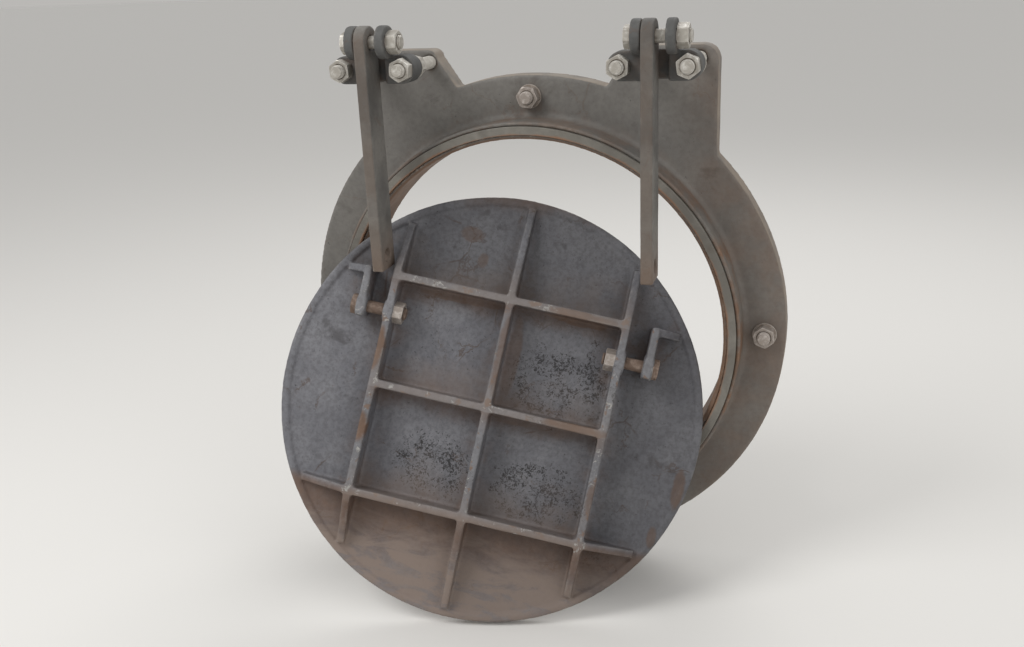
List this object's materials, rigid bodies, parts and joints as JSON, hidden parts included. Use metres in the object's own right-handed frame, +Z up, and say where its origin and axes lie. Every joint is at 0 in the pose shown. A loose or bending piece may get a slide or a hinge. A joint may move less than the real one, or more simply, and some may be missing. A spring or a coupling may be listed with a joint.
{
  "type": "double-hung flap gate",
  "caption": "Round flap gate for a pipe outlet: flanged seat, hinge brackets, hanging arms and a ribbed cover that has come off its arms.",
  "frame": {"origin": "centre of the round opening on the flange's back face, which bears on the wall", "axes": "+Y into the wall along the opening's axis, +Z up, the gate faces -Y"},
  "size_m": [0.79, 0.3192, 0.8982],
  "materials": {
    "painted_iron": "worn dark blue-grey paint over cast iron",
    "seat_face": "machined seat ring, dull tan",
    "galvanised": "weathered galvanised steel",
    "rusty_steel": "rusty steel"
  },
  "bodies": {
    "root": {"seat_casting": "painted_iron", "seat_ring": "seat_face", "anchor_stud_top": "galvanised", "anchor_stud_right": "galvanised", "anchor_stud_bottom": "galvanised", "anchor_stud_left": "galvanised", "anchor_nut_top": "galvanised", "anchor_nut_right": "galvanised", "anchor_nut_bottom": "galvanised", "anchor_nut_left": "galvanised", "bracket_left": "painted_iron", "bracket_right": "painted_iron", "bracket_studs_left": "galvanised", "bracket_studs_right": "galvanised", "front_nuts_left": "galvanised", "front_nuts_right": "galvanised", "back_nuts_left": "galvanised", "back_nuts_right": "galvanised", "hinge_bolt_left": "galvanised", "hinge_bolt_right": "galvanised", "hinge_nut_left": "galvanised", "hinge_nut_right": "galvanised", "cover_plate": "painted_iron", "cover_upright_ribs": "painted_iron", "cover_level_ribs": "painted_iron", "cover_lug_left": "painted_iron", "cover_lug_right": "painted_iron", "cover_bolt_left": "rusty_steel", "cover_bolt_right": "rusty_steel", "cover_nut_left": "galvanised", "cover_nut_right": "galvanised"},
    "left_arm": {"arm_left": "painted_iron"},
    "right_arm": {"arm_right": "painted_iron"}
  },
  "joints": [
    {"name": "left_arm_swing", "type": "hinge", "parent": "root", "child": "left_arm", "pos_m": [-0.213, -0.158, 0.456], "axis": [-1, 0, 0], "range_deg": [0, 150]},
    {"name": "right_arm_swing", "type": "hinge", "parent": "root", "child": "right_arm", "pos_m": [0.205, -0.158, 0.456], "axis": [-1, 0, 0], "range_deg": [-5, 150]}
  ]
}
